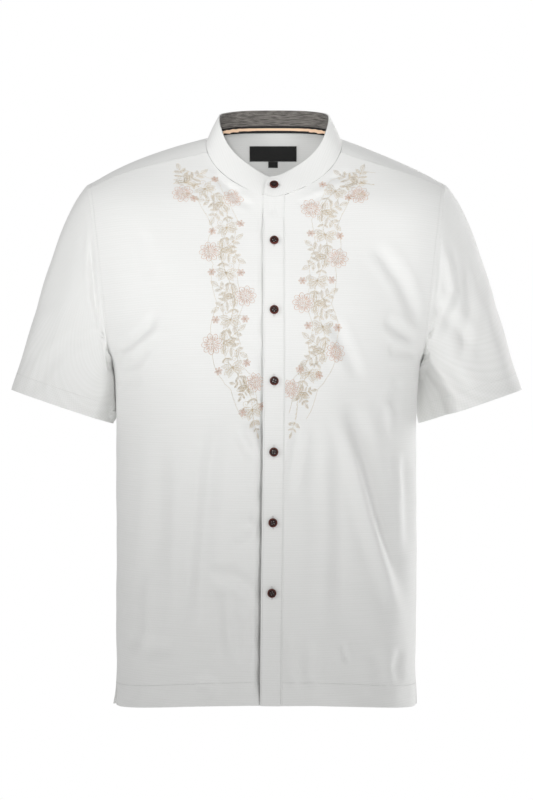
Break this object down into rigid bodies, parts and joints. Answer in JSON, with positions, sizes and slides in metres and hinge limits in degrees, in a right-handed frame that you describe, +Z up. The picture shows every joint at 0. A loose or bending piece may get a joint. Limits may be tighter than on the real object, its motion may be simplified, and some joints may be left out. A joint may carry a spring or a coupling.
{
  "type": "shirt",
  "caption": "Short-sleeved formal shirt with a stand collar, buttoned front placket, back yoke and straight hem, filled out as worn.",
  "frame": {"origin": "middle of the neck on the shoulder line, where the wearer's shoulders hold the shirt", "axes": "+Z up the body, -Y the way the front faces, +X towards the wearer's left sleeve"},
  "size_m": [0.6838, 0.257, 0.802],
  "materials": {
    "back_cloth": "matte",
    "front_left_cloth": "matte",
    "front_right_cloth": "matte",
    "yoke_cloth": "matte",
    "placket_cloth": "matte",
    "sleeve_left_cloth": "matte",
    "sleeve_right_cloth": "matte",
    "collar_band_cloth": "matte",
    "collar_lining_cloth": "matte",
    "neck_tape_cloth": "matte",
    "label_cloth": "matte",
    "size_tab_cloth": "matte",
    "button_1_cloth": "satin",
    "button_2_cloth": "satin",
    "button_3_cloth": "satin",
    "button_4_cloth": "satin",
    "button_5_cloth": "satin",
    "button_6_cloth": "satin",
    "button_7_cloth": "satin"
  },
  "bodies": {
    "root": {"back": "back_cloth", "front_left": "front_left_cloth", "front_right": "front_right_cloth", "yoke": "yoke_cloth", "placket": "placket_cloth", "sleeve_left": "sleeve_left_cloth", "sleeve_right": "sleeve_right_cloth", "collar_band": "collar_band_cloth", "collar_lining": "collar_lining_cloth", "neck_tape": "neck_tape_cloth", "label": "label_cloth", "size_tab": "size_tab_cloth", "button_1": "button_1_cloth", "button_2": "button_2_cloth", "button_3": "button_3_cloth", "button_4": "button_4_cloth", "button_5": "button_5_cloth", "button_6": "button_6_cloth", "button_7": "button_7_cloth"}
  },
  "joints": []
}
